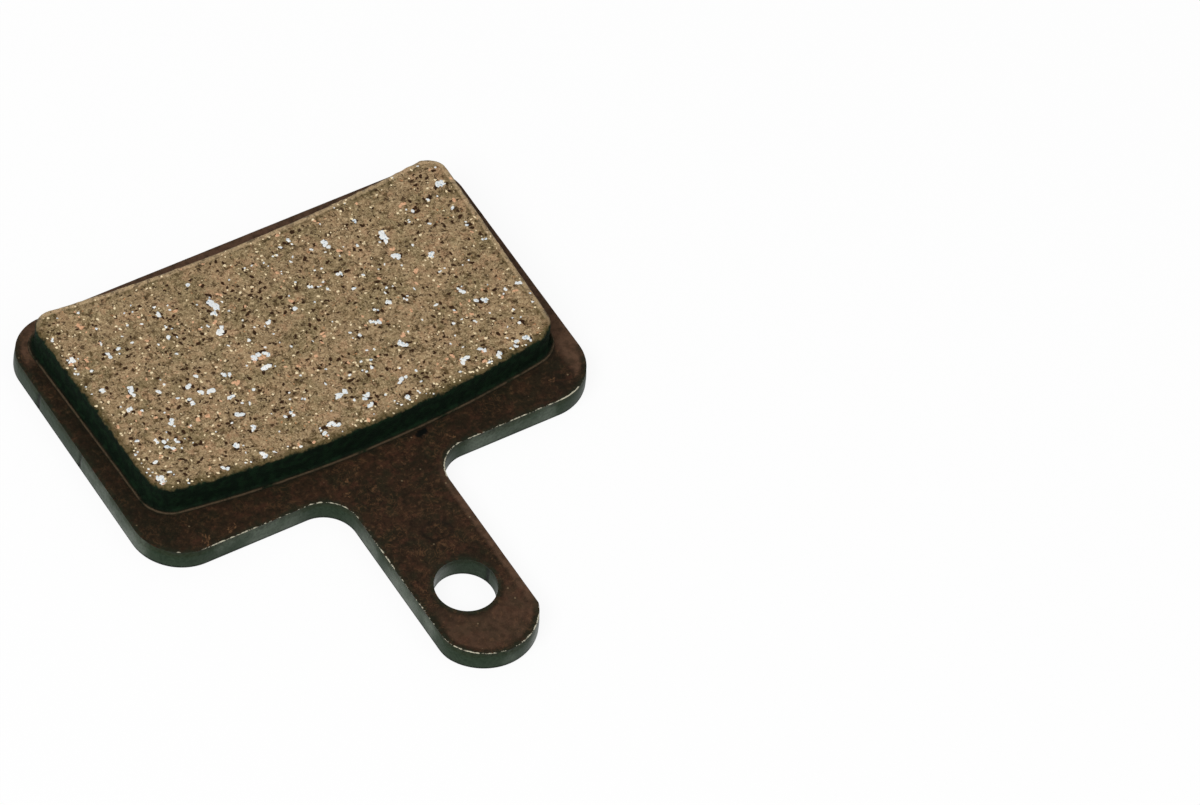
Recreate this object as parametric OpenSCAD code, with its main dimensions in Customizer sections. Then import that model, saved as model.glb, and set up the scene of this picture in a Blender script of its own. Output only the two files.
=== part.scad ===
// Disc brake pad for a bicycle: a blanked steel backing plate with a retaining
// tab, and an arc-shaped friction block moulded onto it and through two keying
// holes.
//
// Frame: millimetres. The origin is on the back face of the plate, at the
// middle of its rectangular body. X runs along the body's long side, the tab
// points to -Y, and Z points from the back face to the friction face.

/* [Backing plate body] */
// Length of the rectangular body along X.
body_w = 30; // [24:0.1:40]
// Height of the rectangular body along Y, without the tab.
body_h = 19.3; // [16:0.1:26]
// Thickness of the steel plate.
plate_t = 1.4; // [1:0.1:2.5]
// Corner radius of the body on the side of the tab.
near_corner_r = 3.1; // [1.5:0.1:4]
// Corner radius of the body on the side away from the tab.
far_corner_r = 2.7; // [1.5:0.1:4]

/* [Tab] */
// Width of the tab between its straight sides.
tab_w = 6.2; // [5.2:0.1:9]
// Distance from the middle of the body to the tip of the tab.
tab_reach = 23.95; // [22:0.05:30]
// Radius of the tab's end, a little more than half its width.
tab_end_r = 3.3; // [3.2:0.1:6]
// Radius of the fillets where the tab meets the body.
tab_root_r = 2.1; // [0.5:0.1:4]

/* [Rounded rim] */
// Radius that blanking leaves along the rim of the back face.
back_round_r = 0.25; // [0.1:0.05:0.5]

/* [Pin hole] */
// Diameter of the hole for the retaining pin.
pin_hole_d = 3.7; // [2.6:0.1:4.2]
// Distance from the middle of the body to the middle of the pin hole.
pin_hole_reach = 18.8; // [16:0.1:21]

/* [Friction block] */
// Length of the block along X.
block_w = 27.6; // [20:0.1:28.5]
// Thickness of the block above the plate.
block_h = 1.9; // [0.5:0.05:3]
// Distance from the middle of the body to the block's long side near the tab.
block_near = 7.55; // [6:0.05:8]
// Distance from the middle of the body to the block's opposite long side.
block_far = 7.9; // [7:0.1:8.3]
// Radius of the convex long side near the tab.
near_arc_r = 80; // [70:1:120]
// Radius of the concave long side away from the tab.
far_arc_r = 110; // [100:1:160]
// Radius of the block's two corners near the tab.
block_near_corner_r = 1.6; // [0.5:0.1:3]
// Radius of the block's two corners away from the tab.
block_far_corner_r = 1.3; // [0.5:0.1:3]

/* [Foot of the block] */
// Width of the thin flash that the mould leaves around the block's foot.
foot_w = 0.35; // [0.1:0.05:0.4]
// Height of that flash.
foot_h = 0.12; // [0.05:0.01:0.3]

/* [Keying holes and plugs] */
// Diameter of the two plate holes that the compound is pressed through.
key_hole_d = 5.1; // [4:0.1:5.4]
// Distance of both keying holes from the body's middle along X.
key_x = 9.3; // [8:0.1:9.8]
// Height of the keying hole on the -X side.
left_key_y = 1.1; // [-2:0.1:4]
// Height of the keying hole on the +X side.
right_key_y = 4.1; // [3.5:0.1:4.5]
// Shrink gap between a plug and the wall of its hole.
plug_gap = 0.03; // [0.01:0.01:0.1]
// How far the end of a plug sits below the back face.
plug_sink = 0.12; // [0.05:0.01:0.3]

/* [Recess in the back face] */
// Diameter of the shallow round recess.
recess_d = 4.1; // [3:0.1:4.4]
// Depth of the recess.
recess_depth = 0.3; // [0.1:0.05:0.5]
// Distance of the recess from the body's middle along X.
recess_x = 9.2; // [8:0.1:9.6]
// Distance of the recess from the body's middle towards the tab.
recess_near = 2.7; // [2.6:0.1:4]

/* [Hidden] */
$fn = 96;
// Facets of a full circle for the block's two long arcs.
long_arc_fn = 1440;
// Facets of a full circle for the rounding of an edge.
edge_fn = 48;
// Overlap that carries a cut cleanly past a face.
cut_over = 1;
half_w = body_w / 2;
half_h = body_h / 2;
half_tab = tab_w / 2;
tab_end_y = tab_end_r - tab_reach;
// Angle at the tab's end arc between level and its corner with a straight side.
tab_kink = acos(half_tab / tab_end_r);
tab_side_length = tab_end_r * sin(tab_kink) - tab_end_y - half_h - tab_root_r;
pin_hole_r = pin_hole_d / 2;
key_hole_r = key_hole_d / 2;
plug_r = key_hole_r - plug_gap;
recess_r = recess_d / 2;
half_block = block_w / 2;
// Middles of the two long arcs of the block, both on the +Y side.
near_arc_y = near_arc_r - block_near;
far_arc_y = far_arc_r + block_far;
// Middles of the block's corner arcs, tangent to a short side and a long arc.
near_corner_x = half_block - block_near_corner_r;
far_corner_x = half_block - block_far_corner_r;
near_corner_y = near_arc_y - sqrt(pow(near_arc_r - block_near_corner_r, 2) - pow(near_corner_x, 2));
far_corner_y = far_arc_y - sqrt(pow(far_arc_r + block_far_corner_r, 2) - pow(far_corner_x, 2));

// Both keying holes or plugs, as discs of one radius.
module key_discs(r) {
    translate([-key_x, left_key_y]) circle(r = r);
    translate([key_x, right_key_y]) circle(r = r);
}

// Rounded rectangle of the body.
module body_outline() {
    polygon([
        [-half_w, near_corner_r - half_h], [near_corner_r - half_w, -half_h],
        [half_w - near_corner_r, -half_h], [half_w, near_corner_r - half_h],
        [half_w, half_h - far_corner_r], [half_w - far_corner_r, half_h],
        [far_corner_r - half_w, half_h], [-half_w, half_h - far_corner_r]
    ]);
    for (side = [-1, 1]) {
        translate([side * (half_w - near_corner_r), near_corner_r - half_h]) circle(r = near_corner_r);
        translate([side * (half_w - far_corner_r), half_h - far_corner_r]) circle(r = far_corner_r);
    }
}

// Strip of the tab, closed by the arc of its end.
module tab_outline() {
    intersection() {
        translate([-half_tab, -tab_reach]) square([tab_w, tab_reach]);
        union() {
            translate([0, tab_end_y]) circle(r = tab_end_r);
            translate([-tab_end_r, tab_end_y]) square([2 * tab_end_r, -tab_end_y]);
        }
    }
}

// Concave fillet on both sides of the tab's root.
module root_fillets() {
    for (side = [0, 1]) mirror([side, 0]) difference() {
        translate([half_tab, -half_h - tab_root_r]) square(tab_root_r);
        translate([half_tab + tab_root_r, -half_h - tab_root_r]) circle(r = tab_root_r);
    }
}

module plate_outline() {
    difference() {
        union() {
            body_outline();
            tab_outline();
            root_fillets();
        }
        translate([0, -pin_hole_reach]) circle(r = pin_hole_r);
        key_discs(key_hole_r);
    }
}

// Outline of the block, grown evenly by the given amount.
module block_outline(grow) {
    near_r = near_arc_r + grow;
    far_r = far_arc_r - grow;
    near_reach = near_r / (near_r - block_near_corner_r - grow);
    far_reach = far_r / (far_r + block_far_corner_r + grow);
    near_touch = [near_corner_x * near_reach, near_arc_y + (near_corner_y - near_arc_y) * near_reach];
    far_touch = [far_corner_x * far_reach, far_arc_y + (far_corner_y - far_arc_y) * far_reach];
    edge_x = half_block + grow;
    difference() {
        intersection() {
            translate([0, near_arc_y]) circle(r = near_r, $fn = long_arc_fn);
            polygon([
                [-near_touch[0], near_touch[1]], [-near_touch[0], -body_h], [near_touch[0], -body_h], near_touch,
                [near_corner_x, near_corner_y], [edge_x, near_corner_y],
                [edge_x, far_corner_y], [far_corner_x, far_corner_y],
                far_touch, [far_touch[0], body_h], [-far_touch[0], body_h], [-far_touch[0], far_touch[1]],
                [-far_corner_x, far_corner_y], [-edge_x, far_corner_y],
                [-edge_x, near_corner_y], [-near_corner_x, near_corner_y]
            ]);
        }
        translate([0, far_arc_y]) circle(r = far_r, $fn = long_arc_fn);
    }
    for (side = [-1, 1]) {
        translate([side * near_corner_x, near_corner_y]) circle(r = block_near_corner_r + grow);
        translate([side * far_corner_x, far_corner_y]) circle(r = block_far_corner_r + grow);
    }
}

// Section of the sliver that rounding takes off an edge at x = 0 of a face at y = 0.
module sliver(round_r) {
    difference() {
        translate([-round_r, -cut_over]) square([round_r + cut_over, round_r + cut_over]);
        translate([-round_r, round_r]) circle(r = round_r, $fn = edge_fn);
    }
}

// Sliver along a straight edge that runs clockwise from start, with the
// outside of the outline in the direction of the angle turn.
module straight_sliver(start, turn, length, round_r) {
    translate(start) rotate([90, 0, turn]) linear_extrude(length) sliver(round_r);
}

// Sliver along a bulging arc.
module bulging_sliver(middle, arc_r, from, sweep, round_r) {
    translate(middle) rotate(from) rotate_extrude(angle = sweep) translate([arc_r, 0]) sliver(round_r);
}

// Sliver along a hollow arc, with the material outside the circle.
module hollow_sliver(middle, arc_r, from, sweep, round_r) {
    translate(middle) rotate(from) rotate_extrude(angle = sweep) translate([arc_r, 0]) mirror([1, 0]) sliver(round_r);
}

// Everything that rounding takes off the rim of the back face.
module plate_slivers() {
    far_length = body_w - 2 * far_corner_r;
    straight_sliver([-far_length / 2, half_h], 90, far_length, back_round_r);
    bulging_sliver([0, tab_end_y], tab_end_r, 180 + tab_kink, 180 - 2 * tab_kink, back_round_r);
    for (side = [0, 1]) mirror([side, 0]) {
        bulging_sliver([half_w - far_corner_r, half_h - far_corner_r], far_corner_r, 0, 90, back_round_r);
        straight_sliver([half_w, half_h - far_corner_r], 0, body_h - far_corner_r - near_corner_r, back_round_r);
        bulging_sliver([half_w - near_corner_r, near_corner_r - half_h], near_corner_r, -90, 90, back_round_r);
        straight_sliver([half_w - near_corner_r, -half_h], -90, half_w - near_corner_r - half_tab - tab_root_r, back_round_r);
        hollow_sliver([half_tab + tab_root_r, -half_h - tab_root_r], tab_root_r, 90, 90, back_round_r);
        straight_sliver([half_tab, -half_h - tab_root_r], 0, tab_side_length, back_round_r);
    }
}

module backing_plate() {
    color([0.2, 0.29, 0.23]) difference() {
        linear_extrude(plate_t) plate_outline();
        translate([recess_x, -recess_near, -cut_over]) cylinder(r = recess_r, h = cut_over + recess_depth);
        plate_slivers();
    }
}

module friction_block() {
    color([0.48, 0.41, 0.32]) {
        translate([0, 0, plate_t]) linear_extrude(block_h) block_outline(0);
        translate([0, 0, plate_t]) linear_extrude(foot_h) block_outline(foot_w);
        translate([0, 0, plug_sink]) linear_extrude(plate_t - plug_sink + foot_h) key_discs(plug_r);
    }
}

backing_plate();
friction_block();
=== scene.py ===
# %% [markdown]
# # A bicycle brake pad
# A disc brake pad is two things bonded together: a plate blanked from steel, and a block of
# pressed friction compound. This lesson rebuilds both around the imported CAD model, which stays
# the measure of every size. All pieces are closed meshes made from outlines and profiles, so
# their shape is real geometry, and their finishes are node materials.

# %% Load the frame
import math

import bpy
import numpy as np
from mathutils import Matrix, Vector, kdtree
from mathutils.geometry import delaunay_2d_cdt


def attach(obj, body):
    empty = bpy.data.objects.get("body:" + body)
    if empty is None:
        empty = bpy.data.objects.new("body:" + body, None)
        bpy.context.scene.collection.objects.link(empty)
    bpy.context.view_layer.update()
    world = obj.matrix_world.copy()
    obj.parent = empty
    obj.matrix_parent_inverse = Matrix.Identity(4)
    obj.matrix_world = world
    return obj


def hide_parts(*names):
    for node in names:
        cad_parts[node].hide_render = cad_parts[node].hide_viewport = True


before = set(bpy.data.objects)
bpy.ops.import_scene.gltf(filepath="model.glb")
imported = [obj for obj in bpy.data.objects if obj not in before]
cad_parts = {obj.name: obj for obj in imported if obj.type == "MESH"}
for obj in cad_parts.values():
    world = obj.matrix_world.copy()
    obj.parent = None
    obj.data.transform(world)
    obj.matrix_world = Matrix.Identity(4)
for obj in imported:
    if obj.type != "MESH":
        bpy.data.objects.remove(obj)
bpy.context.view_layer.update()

METRES_PER_MM = 0.001

# %% [markdown]
# ## Sizes
# The meshes are drawn in millimetres, because a pad is small and its sizes read best that way,
# and each mesh is brought to metres at the very end. The main sizes are those of the CAD source,
# and each one is named where it is first needed.

# %% Thickness of the plate and height of the block
plate_t, block_h = 1.4, 1.9
block_top = plate_t + block_h

# %% [markdown]
# ## Outlines
# An outline is a chain of arcs joined by straight runs. Walking along it in small even steps
# gives points and, at each point, the direction that faces outwards. With both, one outline can
# be grown or shrunk by any amount, which is all that a rounded rim or a burr needs.

# %% Arcs and even steps
walk_step = 0.1


def arc(middle, radius, start, end):
    """Points of an arc from one angle to another, in degrees, about walk_step apart."""
    count = max(3, int(abs(math.radians(end - start)) * radius / walk_step))
    angles = np.radians(np.linspace(start, end, count))
    return np.stack([middle[0] + radius * np.cos(angles), middle[1] + radius * np.sin(angles)], 1)


def even_steps(corners, step):
    """The closed chain of points, walked again in even steps."""
    closed = np.vstack([corners, corners[:1]])
    walked = np.r_[0, np.cumsum(np.hypot(*np.diff(closed, axis=0).T))]
    marks = np.linspace(0, walked[-1], int(walked[-1] / step), endpoint=False)
    return np.stack([np.interp(marks, walked, closed[:, axis]) for axis in (0, 1)], 1)


def averaged(values, count):
    """Values along a closed outline, each one the average of its neighbourhood."""
    wrapped = np.r_[values[-count:], values, values[:count]]
    return np.convolve(wrapped, np.ones(2 * count + 1) / (2 * count + 1), "valid")


print("a quarter circle of 3 mm has", len(arc((0, 0), 3, 0, 90)), "points")

# %% A walked outline
class Outline:
    """A closed outline, walked anticlockwise, with its outward directions.

    Without a step, the points stay as they are given.
    """

    def __init__(self, corners, step=None):
        self.points = corners if step is None else even_steps(corners, step)
        ahead = np.roll(self.points, -1, axis=0) - np.roll(self.points, 1, axis=0)
        ahead /= np.hypot(*ahead.T)[:, None]
        self.outward = np.stack([ahead[:, 1], -ahead[:, 0]], 1)
        gaps = np.roll(self.points, -1, axis=0) - self.points
        self.walked = np.r_[0, np.cumsum(np.hypot(*gaps.T))][:-1]
        self.tree = None

    def grown(self, amount):
        """The outline moved outwards by an amount, one for all points or one for each."""
        return self.points + self.outward * np.reshape(amount, (-1, 1))

    def depths(self, places):
        """How far inside the outline each place lies, and below 0 outside it."""
        if self.tree is None:
            self.tree = kdtree.KDTree(len(self.points))
            for number, point in enumerate(self.points.tolist()):
                self.tree.insert((*point, 0), number)
            self.tree.balance()
        nearest = np.array([self.tree.find((*place, 0))[1] for place in np.asarray(places).tolist()])
        return ((self.points[nearest] - places) * self.outward[nearest]).sum(1)


def circle(middle, radius, step=walk_step):
    """A round outline."""
    return Outline(arc(middle, radius, 0, 360 - 360 * step / (2 * math.pi * radius)), step)


def hole_rim(middle, radius):
    """A circle walked clockwise, so that a wall on it faces into the hole."""
    rim = circle(middle, radius)
    rim.points, rim.outward = rim.points[::-1], rim.outward[::-1]
    return rim


print("a circle of 2 mm has", len(circle((0, 0), 2).points), "steps")

# %% [markdown]
# ## The plate's outline and the block's
# The plate is a rounded rectangle with a tab, and hollow fillets lead from one to the other. The
# block bulges towards the tab and is hollow on its far side. Both follow the radii of the CAD
# source. The left corner of the tab's end is worn round. A moulded block never comes out quite
# true, so its outline is moved a little aside, shortened, and its ends lean.

# %% Outline of the plate
body_w, body_h = 30.0, 19.3
near_corner_r, far_corner_r = 3.1, 2.7
tab_w, tab_reach, tab_end_r, tab_root_r = 6.2, 23.95, 3.3, 2.1
tab_end_y = tab_end_r - tab_reach


def plate_corners():
    """The rectangular body and its tab."""
    half_w, half_h, half_tab = body_w / 2, body_h / 2, tab_w / 2
    far_x, far_y = half_w - far_corner_r, half_h - far_corner_r
    near_x, near_y = half_w - near_corner_r, near_corner_r - half_h
    root_x, root_y = half_tab + tab_root_r, -half_h - tab_root_r
    kink = math.degrees(math.acos(half_tab / tab_end_r))
    return np.vstack([
        arc((far_x, far_y), far_corner_r, 0, 90),
        arc((-far_x, far_y), far_corner_r, 90, 180),
        arc((-near_x, near_y), near_corner_r, 180, 270),
        arc((-root_x, root_y), tab_root_r, 90, 0),
        arc((0, tab_end_y), tab_end_r, 180 + kink, 360 - kink),
        arc((root_x, root_y), tab_root_r, 180, 90),
        arc((near_x, near_y), near_corner_r, 270, 360),
    ])


def eased(points, corner, reach):
    """The outline with one of its corners worn round."""
    smooth = np.stack([averaged(points[:, axis], 5) for axis in (0, 1)], 1)
    near = np.clip(1.5 - np.hypot(*(points - corner).T) / reach, 0, 1)[:, None]
    return points * (1 - near) + smooth * near


left_tab_corner = (-tab_w / 2, tab_end_y - math.sqrt(tab_end_r ** 2 - tab_w ** 2 / 4))
worn_reach = 0.7
plate_walk = eased(even_steps(plate_corners(), walk_step), left_tab_corner, worn_reach)
plate_outline = Outline(plate_walk)
print("plate outline", len(plate_outline.points), "points")

# %% Outline of the block
block_w = 27.6
block_near, block_far = 7.55, 7.9
near_arc_r, far_arc_r = 80.0, 110.0
block_near_corner_r, block_far_corner_r = 1.6, 1.3
block_step = 0.09

# As pressed: half its length, how much its ends lean, its move, and the share of its breadth.
pressed_half_w, end_lean = 13.66, 0.03
moved_right, moved_away, breadth_share = 0.17, 0.122, 0.9909


def block_corners():
    """The arc-shaped block: one long side bulges, the other is hollow."""
    near_y, far_y = near_arc_r - block_near, far_arc_r + block_far
    near_x, far_x = block_w / 2 - block_near_corner_r, block_w / 2 - block_far_corner_r
    near_span = math.asin(near_x / (near_arc_r - block_near_corner_r))
    far_span = math.asin(far_x / (far_arc_r + block_far_corner_r))
    near_corner_y = near_y - (near_arc_r - block_near_corner_r) * math.cos(near_span)
    far_corner_y = far_y - (far_arc_r + block_far_corner_r) * math.cos(far_span)
    near_turn, far_turn = math.degrees(near_span), math.degrees(far_span)
    return np.vstack([
        arc((near_x, near_corner_y), block_near_corner_r, near_turn - 90, 0),
        arc((far_x, far_corner_y), block_far_corner_r, 0, 90 + far_turn),
        arc((0, far_y), far_arc_r, far_turn - 90, -90 - far_turn),
        arc((-far_x, far_corner_y), block_far_corner_r, 90 - far_turn, 180),
        arc((-near_x, near_corner_y), block_near_corner_r, 180, 270 - near_turn),
        arc((0, near_y), near_arc_r, 270 - near_turn, 270 + near_turn),
    ])


def as_pressed(corners):
    """The block as it came out of its mould: a little aside, its ends leaning inwards."""
    x, y = corners.T
    return np.stack([moved_right + x * (pressed_half_w + end_lean * y) / (block_w / 2),
                     moved_away + breadth_share * y], 1)


block_outline = Outline(as_pressed(block_corners()), block_step)
print("block outline", len(block_outline.points), "points")

# %% [markdown]
# ## Unevenness
# Nothing pressed, blanked or painted is perfectly even. A lattice of random numbers, blended
# smoothly, gives bumps of a chosen width. The seeds are fixed, so each run makes the same pad.

# %% Smooth random bumps
lattice_size, lattice_start = 256, 100.5


def bumps(x, y, width, seed):
    """Smooth random heights from -1 to 1 over the plane, with bumps of a given width in mm."""
    lattice = np.random.default_rng(seed).uniform(-1, 1, (lattice_size, lattice_size))
    across, along = np.asarray(x) / width + lattice_start, np.asarray(y) / width + lattice_start
    column, row = np.floor(across).astype(int), np.floor(along).astype(int)
    share_x, share_y = across - column, along - row
    share_x = share_x * share_x * (3 - 2 * share_x)
    share_y = share_y * share_y * (3 - 2 * share_y)

    def corner(right, up):
        return lattice[(column + right) % lattice_size, (row + up) % lattice_size]

    low = corner(0, 0) * (1 - share_x) + corner(1, 0) * share_x
    high = corner(0, 1) * (1 - share_x) + corner(1, 1) * share_x
    return low * (1 - share_y) + high * share_y


def rough(x, y, width, seed, octaves=3):
    """Bumps on bumps, each set half as wide and half as high as the one before."""
    total = 0
    for octave in range(octaves):
        total = total + bumps(x, y, width / 2 ** octave, seed + octave) / 2 ** octave
    return total


sample = bumps(np.arange(99), 0, 3, 1)
print("bumps run from", round(float(sample.min()), 2), "to", round(float(sample.max()), 2))

# %% [markdown]
# ## A closed skin
# Each piece is a skin of rings and fills. A ring is the outline at one height of the profile,
# two rings are joined by a band of quads, and a flat face is filled with a triangle net between
# its rings. Modifiers could bevel and displace a plain solid too, but they couldn't place a
# burr, a flash or a single pit. The net is fine enough to be pushed into pits and ripples. Every
# point can also carry marks, such as how deep it lies in a pit, which the materials read.

# %% A builder for closed skins
# Points nearer to each other than this, in mm, count as one.
same_place = 1e-7
# Share of a hole's radius within which the net keeps no face.
hole_slack = 0.999


class Skin:
    """Collects the points, faces and marks of one piece, in mm, and makes its mesh."""

    def __init__(self, *mark_names):
        self.points, self.faces, self.finishes = [], [], []
        self.marks = {name: [] for name in mark_names}
        self.count = 0

    def ring(self, flat, heights, **marks):
        """Adds points at the given heights, and returns their numbers."""
        count = len(flat)
        self.points.append(np.column_stack([flat, np.broadcast_to(heights, count)]))
        for name, values in self.marks.items():
            values.append(np.broadcast_to(marks.get(name, 0.0), count))
        self.count += count
        return np.arange(self.count - count, self.count)

    def band(self, lower, upper, finish=0):
        """Joins two rings. Walked anticlockwise, the band faces outwards."""
        after_lower, after_upper = np.roll(lower, -1), np.roll(upper, -1)
        quads = np.stack([lower, after_lower, after_upper, upper], 1)
        self.faces += quads.tolist()
        self.finishes += [finish] * len(quads)

    def fill(self, rings, inner, heights, up=True, finish=0, **marks):
        """Fills the flat region between rings with a net through the inner points."""
        points = np.vstack(self.points)
        numbers = np.concatenate(rings)
        edges, start = [], 0
        for ring in rings:
            order = np.arange(start, start + len(ring))
            edges += np.stack([order, np.roll(order, -1)], 1).tolist()
            start += len(ring)
        flat = np.vstack([points[numbers, :2], inner])
        numbers = np.concatenate([numbers, self.ring(inner, heights, **marks)])
        places = [Vector(place) for place in flat.tolist()]
        net_faces, origins = delaunay_2d_cdt(places, edges, [], 1, same_place)[2:4]
        source = np.array([numbers[names[0]] for names in origins])
        faces = source[np.array(net_faces)]
        middles = np.vstack(self.points)[faces, :2].mean(1)
        for ring in rings[1:]:
            hole = points[ring, :2]
            reach = np.hypot(*(hole - hole.mean(0)).T).max()
            keep = np.hypot(*(middles - hole.mean(0)).T) > reach * hole_slack
            faces, middles = faces[keep], middles[keep]
        if not up:
            faces = faces[:, ::-1]
        self.faces += faces.tolist()
        self.finishes += [finish] * len(faces)

    def piece(self, name, materials, smooth=True):
        """Makes the object, in metres, with its marks and its finishes."""
        mesh = bpy.data.meshes.new(name)
        mesh.from_pydata((np.vstack(self.points) * METRES_PER_MM).tolist(), [], self.faces)
        for mark, values in self.marks.items():
            layer = mesh.attributes.new(mark, "FLOAT", "POINT")
            layer.data.foreach_set("value", np.concatenate(values).astype(np.float32))
        for material in materials:
            mesh.materials.append(material)
        mesh.polygons.foreach_set("material_index", self.finishes)
        mesh.polygons.foreach_set("use_smooth", [smooth] * len(mesh.polygons))
        mesh.validate()
        mesh.update()
        made = bpy.data.objects.new(name, mesh)
        bpy.context.collection.objects.link(made)
        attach(made, "root")
        triangles = sum(len(face) - 2 for face in self.faces)
        print(name, self.count, "points,", triangles, "triangles")
        return made


# %% Points for a net
net_shake = 0.2


def net_points(outline, step, margin, seed, holes=()):
    """Inner points of a fill: a slightly shaken grid that keeps clear of its rings."""
    low, high = outline.points.min(0), outline.points.max(0)
    grid = np.stack(np.meshgrid(*[np.arange(low[axis], high[axis], step) for axis in (0, 1)]), -1)
    grid = grid.reshape(-1, 2)
    grid = grid + np.random.default_rng(seed).uniform(-net_shake, net_shake, grid.shape) * step
    keep = outline.depths(grid) > margin
    for middle, radius in holes:
        keep &= np.hypot(*(grid - middle).T) > radius + margin
    return grid[keep]


def rim_of(skin, ring):
    """The flat outline of a ring, for the net inside it."""
    return Outline(np.vstack(skin.points)[ring, :2])


print("a net of 0.5 mm over the block takes", len(net_points(block_outline, 0.5, 0.1, 0)), "points")

# %% [markdown]
# ## Shader arithmetic
# A finish is a small calculation: noise times contrast plus a base value, and so on. Wrapping a
# node's output in a class lets such a calculation be written as ordinary Python, and each
# operator adds its Math node. Colours never go through a Math node, which would turn them grey,
# but through a Mix node.

# %% Signals
class Signal:
    """A value on its way from one shader node to the next."""

    def __init__(self, finish, socket):
        self.finish, self.socket = finish, socket

    def __add__(self, other):
        return self.finish.maths("ADD", self, other)

    __radd__ = __add__

    def __mul__(self, other):
        return self.finish.maths("MULTIPLY", self, other)

    __rmul__ = __mul__

    def __sub__(self, other):
        return self.finish.maths("SUBTRACT", self, other)

    def __rsub__(self, other):
        return self.finish.maths("SUBTRACT", other, self)


# %% Finishes
class Finish:
    """A node material, built up by calculation."""

    def __init__(self, name):
        self.material = bpy.data.materials.new(name)
        self.material.use_nodes = True
        self.tree = self.material.node_tree
        self.tree.nodes.clear()
        place = self.node("ShaderNodeTexCoord", output="Object")
        self.place = self.node("ShaderNodeVectorMath", {"operation": "SCALE"},
                               {0: place, "Scale": 1 / METRES_PER_MM})

    def node(self, kind, settings=None, values=None, output=0):
        """Adds a node: its settings first, then the values or links of its sockets."""
        made = self.tree.nodes.new(kind)
        for name, setting in (settings or {}).items():
            setattr(made, name, setting)
        for name, value in (values or {}).items():
            if isinstance(value, Signal):
                self.tree.links.new(value.socket, made.inputs[name])
            else:
                made.inputs[name].default_value = value
        return Signal(self, made.outputs[output]) if made.outputs else None

    def maths(self, operation, first, second):
        """One Math node."""
        return self.node("ShaderNodeMath", {"operation": operation}, {0: first, 1: second})

    def blend(self, mask, first, second):
        """One colour where the mask is 0, another where it is 1."""
        return self.node("ShaderNodeMix", {"data_type": "RGBA"}, {0: mask, 6: first, 7: second},
                         output=2)

    def between(self, signal, low, high):
        """0 below low, 1 above high, and smooth from one to the other."""
        return self.node("ShaderNodeMapRange", {"interpolation_type": "SMOOTHSTEP"},
                         {0: signal, 1: low, 2: high})

    def moved(self, offset, stretch=(1, 1, 1)):
        """The place on the piece, stretched and moved, so that two noises never match."""
        return self.node("ShaderNodeVectorMath", {"operation": "MULTIPLY_ADD"},
                         {0: self.place, 1: stretch, 2: (offset, offset * 0.7, offset * 0.3)})

    def noise(self, width, offset, detail=2.0, roughness=0.5, distortion=0.0, stretch=(1, 1, 1)):
        """Cloudy noise from 0 to 1, with clouds of a given width in mm."""
        return self.node("ShaderNodeTexNoise", None,
                         {"Vector": self.moved(offset, stretch), "Scale": 1 / width,
                          "Detail": detail, "Roughness": roughness, "Distortion": distortion})

    def spots(self, spacing, radius, offset, share):
        """Soft round spots, one in each chosen cell of a scattered pattern."""
        values = {"Vector": self.moved(offset), "Scale": 1 / spacing}
        distance = self.node("ShaderNodeTexVoronoi", None, values, "Distance")
        lot = self.node("ShaderNodeTexVoronoi", None, values, "Color")
        lot = self.node("ShaderNodeSeparateColor", None, {0: lot})
        chosen = self.between(lot, 1 - share, 1 - share + 0.01)
        reach = radius / spacing
        return (1 - self.between(distance, reach * 0.5, reach)) * chosen

    def mark(self, name):
        """A mark that the mesh carries."""
        return self.node("ShaderNodeAttribute", {"attribute_name": name}, output="Fac")

    def bump(self, height, depth, under=None):
        """Tilts the surface as if it were raised by height times depth, in mm."""
        values = {"Strength": 1.0, "Distance": depth * METRES_PER_MM, "Height": height}
        if under is not None:
            values["Normal"] = under
        return self.node("ShaderNodeBump", None, values)

    def surface(self, **values):
        """The surface itself. Socket names are written with underscores for spaces."""
        values = {name.replace("_", " "): value for name, value in values.items()}
        shader = self.node("ShaderNodeBsdfPrincipled", None, values)
        self.node("ShaderNodeOutputMaterial", None, {0: shader})
        print(self.material.name, "has", len(self.tree.nodes), "nodes")
        return self.material


def tint(red, green, blue):
    """A colour as a screen shows it, 0 to 255, in the linear light that shaders use."""
    steps = [value / 255 for value in (red, green, blue)]
    return (*[step / 12.92 if step < 0.04 else ((step + 0.055) / 1.055) ** 2.4
              for step in steps], 1.0)


print("mid green in linear light", [round(value, 3) for value in tint(52, 76, 60)])

# %% [markdown]
# ## Green paint
# The back and the cut edges are sprayed with one coat of dark green. Its gloss is like a thin clear
# film, so it is a coat over a dull base. Thin paint over steel is never one colour: it is darker
# where it ran thick and greyer where it is thin over the cut. The near black along the rounded
# back rim, where the pad meets the floor, is painted shade. The mark for thick paint also carries
# painted shade in the holes, on the wall that faces away from the light, and a painted sheen on
# the left wall. The burr at the top of the cut has lost its paint in short bright dashes.
# Noise alone would scatter all this anywhere, so marks that the mesh carries say where the
# wall, the tear and the burr are, and noise only frays their borders.

# %% Green paint
def worn_steel(finish):
    """Where the burr along the rim has lost its coat: short bright dashes."""
    dashes = finish.noise(0.28, 61, detail=4, roughness=0.7)
    runs = finish.noise(3.0, 67, detail=1)
    return finish.between(finish.mark("lip") + (dashes - 0.5) * 1.5 + (runs - 0.5) * 0.8, 0.8, 1.0)


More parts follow.
